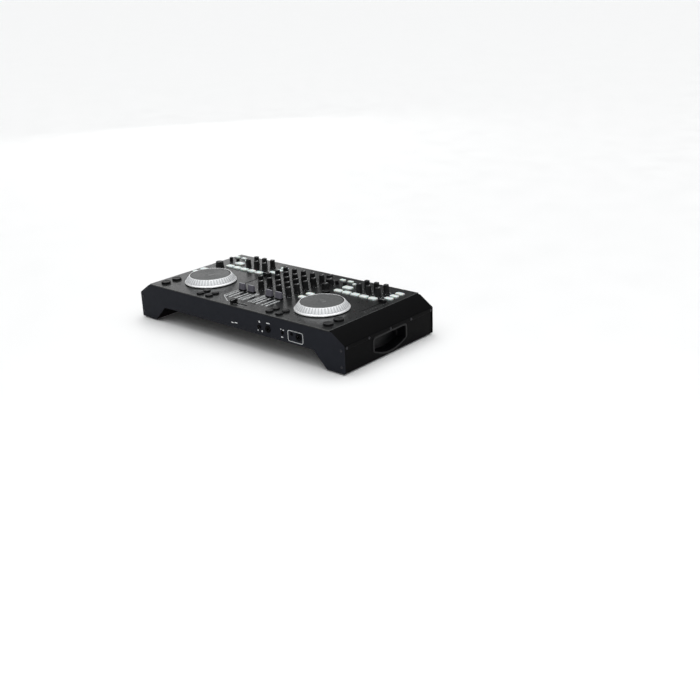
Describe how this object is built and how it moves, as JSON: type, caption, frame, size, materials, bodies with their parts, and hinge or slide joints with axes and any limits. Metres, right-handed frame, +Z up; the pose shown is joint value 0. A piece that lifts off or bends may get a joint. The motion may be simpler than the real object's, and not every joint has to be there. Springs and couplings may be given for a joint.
{
  "type": "dj controller",
  "caption": "Two-deck mixing controller on two legs that bridges a laptop, with jog wheels, rotary knobs, faders and soft keys.",
  "frame": {"origin": "middle of the footprint, on the surface that the feet stand on", "axes": "+X to the user's right along the width, +Y to the back, +Z up"},
  "size_m": [0.68, 0.318, 0.1165],
  "materials": {
    "panel_black": "satin black anodised panel with fine texture",
    "case_black": "fine-textured black moulding",
    "front_graphite": "satin graphite",
    "board_green": "green solder mask",
    "foot_rubber": "matt",
    "jog_silver": "bright satin silver",
    "jog_grey": "satin grey",
    "key_white": "translucent milky",
    "knob_black": "matt with a soft sheen",
    "cap_grey": "satin dark grey"
  },
  "bodies": {
    "case": {"top_panel": "panel_black", "left_cheek": "case_black", "right_cheek": "case_black", "left_side_panel": "case_black", "right_side_panel": "case_black", "front_panel": "front_graphite", "rear_panel": "case_black", "bottom_tray": "case_black", "main_board": "board_green", "left_foot_strip": "foot_rubber", "right_foot_strip": "foot_rubber"},
    "channel1_knob_1": {"channel1_knob_1": "knob_black"},
    "channel1_knob_2": {"channel1_knob_2": "knob_black"},
    "channel1_knob_3": {"channel1_knob_3": "knob_black"},
    "channel1_knob_4": {"channel1_knob_4": "knob_black"},
    "channel2_knob_1": {"channel2_knob_1": "knob_black"},
    "channel2_knob_2": {"channel2_knob_2": "knob_black"},
    "channel2_knob_3": {"channel2_knob_3": "knob_black"},
    "channel2_knob_4": {"channel2_knob_4": "knob_black"},
    "master_knob_1": {"master_knob_1": "knob_black"},
    "master_knob_2": {"master_knob_2": "knob_black"},
    "master_knob_3": {"master_knob_3": "knob_black"},
    "channel3_knob_1": {"channel3_knob_1": "knob_black"},
    "channel3_knob_2": {"channel3_knob_2": "knob_black"},
    "channel3_knob_3": {"channel3_knob_3": "knob_black"},
    "channel3_knob_4": {"channel3_knob_4": "knob_black"},
    "channel4_knob_1": {"channel4_knob_1": "knob_black"},
    "channel4_knob_2": {"channel4_knob_2": "knob_black"},
    "channel4_knob_3": {"channel4_knob_3": "knob_black"},
    "channel4_knob_4": {"channel4_knob_4": "knob_black"},
    "channel2_filter_knob": {"channel2_filter_knob": "knob_black"},
    "channel4_filter_knob": {"channel4_filter_knob": "knob_black"},
    "left_effect_knob_1": {"left_effect_knob_1": "knob_black"},
    "left_effect_knob_2": {"left_effect_knob_2": "knob_black"},
    "left_effect_knob_3": {"left_effect_knob_3": "knob_black"},
    "left_effect_knob_4": {"left_effect_knob_4": "knob_black"},
    "left_effect_knob_5": {"left_effect_knob_5": "knob_black"},
    "left_effect_knob_6": {"left_effect_knob_6": "knob_black"},
    "right_effect_knob_1": {"right_effect_knob_1": "knob_black"},
    "right_effect_knob_2": {"right_effect_knob_2": "knob_black"},
    "right_effect_knob_3": {"right_effect_knob_3": "knob_black"},
    "right_effect_knob_4": {"right_effect_knob_4": "knob_black"},
    "right_effect_knob_5": {"right_effect_knob_5": "knob_black"},
    "right_effect_knob_6": {"right_effect_knob_6": "knob_black"},
    "left_loop_knob": {"left_loop_knob": "knob_black"},
    "browse_knob": {"browse_knob": "knob_black"},
    "phones_level_knob": {"phones_level_knob": "knob_black"},
    "left_jog": {"left_jog_rim": "jog_silver", "left_jog_disc": "jog_grey"},
    "right_jog": {"right_jog_rim": "jog_silver", "right_jog_disc": "jog_grey"},
    "channel1_fader": {"channel1_fader_cap": "cap_grey"},
    "channel2_fader": {"channel2_fader_cap": "cap_grey"},
    "channel3_fader": {"channel3_fader_cap": "cap_grey"},
    "channel4_fader": {"channel4_fader_cap": "cap_grey"},
    "crossfader": {"crossfader_cap": "cap_grey"},
    "left_tempo": {"left_tempo_cap": "cap_grey"},
    "right_tempo": {"right_tempo_cap": "cap_grey"},
    "left_keys": {"left_key_mat": "key_white"},
    "right_keys": {"right_key_mat": "key_white"}
  },
  "joints": [
    {"name": "left_jog_spin", "type": "hinge", "parent": "case", "child": "left_jog", "pos_m": [-0.187, -0.055, 0.0945], "axis": [0, 0, 1], "continuous": true},
    {"name": "right_jog_spin", "type": "hinge", "parent": "case", "child": "right_jog", "pos_m": [0.187, -0.055, 0.0945], "axis": [0, 0, 1], "continuous": true},
    {"name": "channel1_fade", "type": "slide", "parent": "case", "child": "channel1_fader", "axis": [0, 1, 0], "range_m": [-0.045, 0]},
    {"name": "channel2_fade", "type": "slide", "parent": "case", "child": "channel2_fader", "axis": [0, 1, 0], "range_m": [-0.045, 0]},
    {"name": "channel3_fade", "type": "slide", "parent": "case", "child": "channel3_fader", "axis": [0, 1, 0], "range_m": [-0.045, 0]},
    {"name": "channel4_fade", "type": "slide", "parent": "case", "child": "channel4_fader", "axis": [0, 1, 0], "range_m": [-0.045, 0]},
    {"name": "crossfade", "type": "slide", "parent": "case", "child": "crossfader", "axis": [1, 0, 0], "range_m": [-0.0085, 0.0365]},
    {"name": "left_tempo_slide", "type": "slide", "parent": "case", "child": "left_tempo", "axis": [0, 1, 0], "range_m": [-0.076, 0]},
    {"name": "right_tempo_slide", "type": "slide", "parent": "case", "child": "right_tempo", "axis": [0, 1, 0], "range_m": [-0.076, 0]},
    {"name": "left_keys_press", "type": "slide", "parent": "case", "child": "left_keys", "axis": [0, 0, 1], "range_m": [-0.0012, 0], "stiffness_N_per_m": 3000, "springref_m": 0.0006},
    {"name": "right_keys_press", "type": "slide", "parent": "case", "child": "right_keys", "axis": [0, 0, 1], "range_m": [-0.0012, 0], "stiffness_N_per_m": 3000, "springref_m": 0.0006},
    {"name": "channel1_turn_1", "type": "hinge", "parent": "case", "child": "channel1_knob_1", "pos_m": [-0.061, -0.0035, 0.0945], "axis": [0, 0, 1], "range_deg": [-150, 150]},
    {"name": "channel1_turn_2", "type": "hinge", "parent": "case", "child": "channel1_knob_2", "pos_m": [-0.061, 0.026, 0.0945], "axis": [0, 0, 1], "range_deg": [-150, 150]},
    {"name": "channel1_turn_3", "type": "hinge", "parent": "case", "child": "channel1_knob_3", "pos_m": [-0.061, 0.0555, 0.0945], "axis": [0, 0, 1], "range_deg": [-150, 150]},
    {"name": "channel1_turn_4", "type": "hinge", "parent": "case", "child": "channel1_knob_4", "pos_m": [-0.061, 0.085, 0.0945], "axis": [0, 0, 1], "range_deg": [-150, 150]},
    {"name": "channel2_turn_1", "type": "hinge", "parent": "case", "child": "channel2_knob_1", "pos_m": [-0.0305, -0.0035, 0.0945], "axis": [0, 0, 1], "range_deg": [-150, 150]},
    {"name": "channel2_turn_2", "type": "hinge", "parent": "case", "child": "channel2_knob_2", "pos_m": [-0.0305, 0.026, 0.0945], "axis": [0, 0, 1], "range_deg": [-150, 150]},
    {"name": "channel2_turn_3", "type": "hinge", "parent": "case", "child": "channel2_knob_3", "pos_m": [-0.0305, 0.0555, 0.0945], "axis": [0, 0, 1], "range_deg": [-150, 150]},
    {"name": "channel2_turn_4", "type": "hinge", "parent": "case", "child": "channel2_knob_4", "pos_m": [-0.0305, 0.085, 0.0945], "axis": [0, 0, 1], "range_deg": [-150, 150]},
    {"name": "master_turn_1", "type": "hinge", "parent": "case", "child": "master_knob_1", "pos_m": [0, -0.0035, 0.0945], "axis": [0, 0, 1], "range_deg": [-150, 150]},
    {"name": "master_turn_2", "type": "hinge", "parent": "case", "child": "master_knob_2", "pos_m": [0, 0.026, 0.0945], "axis": [0, 0, 1], "range_deg": [-150, 150]},
    {"name": "master_turn_3", "type": "hinge", "parent": "case", "child": "master_knob_3", "pos_m": [0, 0.0555, 0.0945], "axis": [0, 0, 1], "range_deg": [-150, 150]},
    {"name": "channel3_turn_1", "type": "hinge", "parent": "case", "child": "channel3_knob_1", "pos_m": [0.0305, -0.0035, 0.0945], "axis": [0, 0, 1], "range_deg": [-150, 150]},
    {"name": "channel3_turn_2", "type": "hinge", "parent": "case", "child": "channel3_knob_2", "pos_m": [0.0305, 0.026, 0.0945], "axis": [0, 0, 1], "range_deg": [-150, 150]},
    {"name": "channel3_turn_3", "type": "hinge", "parent": "case", "child": "channel3_knob_3", "pos_m": [0.0305, 0.0555, 0.0945], "axis": [0, 0, 1], "range_deg": [-150, 150]},
    {"name": "channel3_turn_4", "type": "hinge", "parent": "case", "child": "channel3_knob_4", "pos_m": [0.0305, 0.085, 0.0945], "axis": [0, 0, 1], "range_deg": [-150, 150]},
    {"name": "channel4_turn_1", "type": "hinge", "parent": "case", "child": "channel4_knob_1", "pos_m": [0.061, -0.0035, 0.0945], "axis": [0, 0, 1], "range_deg": [-150, 150]},
    {"name": "channel4_turn_2", "type": "hinge", "parent": "case", "child": "channel4_knob_2", "pos_m": [0.061, 0.026, 0.0945], "axis": [0, 0, 1], "range_deg": [-150, 150]},
    {"name": "channel4_turn_3", "type": "hinge", "parent": "case", "child": "channel4_knob_3", "pos_m": [0.061, 0.0555, 0.0945], "axis": [0, 0, 1], "range_deg": [-150, 150]},
    {"name": "channel4_turn_4", "type": "hinge", "parent": "case", "child": "channel4_knob_4", "pos_m": [0.061, 0.085, 0.0945], "axis": [0, 0, 1], "range_deg": [-150, 150]},
    {"name": "channel2_filter_turn", "type": "hinge", "parent": "case", "child": "channel2_filter_knob", "pos_m": [-0.0305, -0.033, 0.0945], "axis": [0, 0, 1], "range_deg": [-150, 150]},
    {"name": "channel4_filter_turn", "type": "hinge", "parent": "case", "child": "channel4_filter_knob", "pos_m": [0.061, -0.033, 0.0945], "axis": [0, 0, 1], "range_deg": [-150, 150]},
    {"name": "left_effect_turn_1", "type": "hinge", "parent": "case", "child": "left_effect_knob_1", "pos_m": [-0.192, 0.082, 0.0945], "axis": [0, 0, 1], "range_deg": [-150, 150]},
    {"name": "left_effect_turn_2", "type": "hinge", "parent": "case", "child": "left_effect_knob_2", "pos_m": [-0.163, 0.082, 0.0945], "axis": [0, 0, 1], "range_deg": [-150, 150]},
    {"name": "left_effect_turn_3", "type": "hinge", "parent": "case", "child": "left_effect_knob_3", "pos_m": [-0.134, 0.082, 0.0945], "axis": [0, 0, 1], "range_deg": [-150, 150]},
    {"name": "left_effect_turn_4", "type": "hinge", "parent": "case", "child": "left_effect_knob_4", "pos_m": [-0.192, 0.112, 0.0945], "axis": [0, 0, 1], "range_deg": [-150, 150]},
    {"name": "left_effect_turn_5", "type": "hinge", "parent": "case", "child": "left_effect_knob_5", "pos_m": [-0.163, 0.112, 0.0945], "axis": [0, 0, 1], "range_deg": [-150, 150]},
    {"name": "left_effect_turn_6", "type": "hinge", "parent": "case", "child": "left_effect_knob_6", "pos_m": [-0.134, 0.112, 0.0945], "axis": [0, 0, 1], "range_deg": [-150, 150]},
    {"name": "right_effect_turn_1", "type": "hinge", "parent": "case", "child": "right_effect_knob_1", "pos_m": [0.182, 0.082, 0.0945], "axis": [0, 0, 1], "range_deg": [-150, 150]},
    {"name": "right_effect_turn_2", "type": "hinge", "parent": "case", "child": "right_effect_knob_2", "pos_m": [0.211, 0.082, 0.0945], "axis": [0, 0, 1], "range_deg": [-150, 150]},
    {"name": "right_effect_turn_3", "type": "hinge", "parent": "case", "child": "right_effect_knob_3", "pos_m": [0.24, 0.082, 0.0945], "axis": [0, 0, 1], "range_deg": [-150, 150]},
    {"name": "right_effect_turn_4", "type": "hinge", "parent": "case", "child": "right_effect_knob_4", "pos_m": [0.182, 0.112, 0.0945], "axis": [0, 0, 1], "range_deg": [-150, 150]},
    {"name": "right_effect_turn_5", "type": "hinge", "parent": "case", "child": "right_effect_knob_5", "pos_m": [0.211, 0.112, 0.0945], "axis": [0, 0, 1], "range_deg": [-150, 150]},
    {"name": "right_effect_turn_6", "type": "hinge", "parent": "case", "child": "right_effect_knob_6", "pos_m": [0.24, 0.112, 0.0945], "axis": [0, 0, 1], "range_deg": [-150, 150]},
    {"name": "left_loop_turn", "type": "hinge", "parent": "case", "child": "left_loop_knob", "pos_m": [-0.26, 0.043, 0.0945], "axis": [0, 0, 1], "continuous": true},
    {"name": "browse_turn", "type": "hinge", "parent": "case", "child": "browse_knob", "pos_m": [0.098, 0.057, 0.0945], "axis": [0, 0, 1], "continuous": true},
    {"name": "phones_level_turn", "type": "hinge", "parent": "case", "child": "phones_level_knob", "pos_m": [0.084, 0.088, 0.0945], "axis": [0, 0, 1], "range_deg": [-150, 150]}
  ]
}
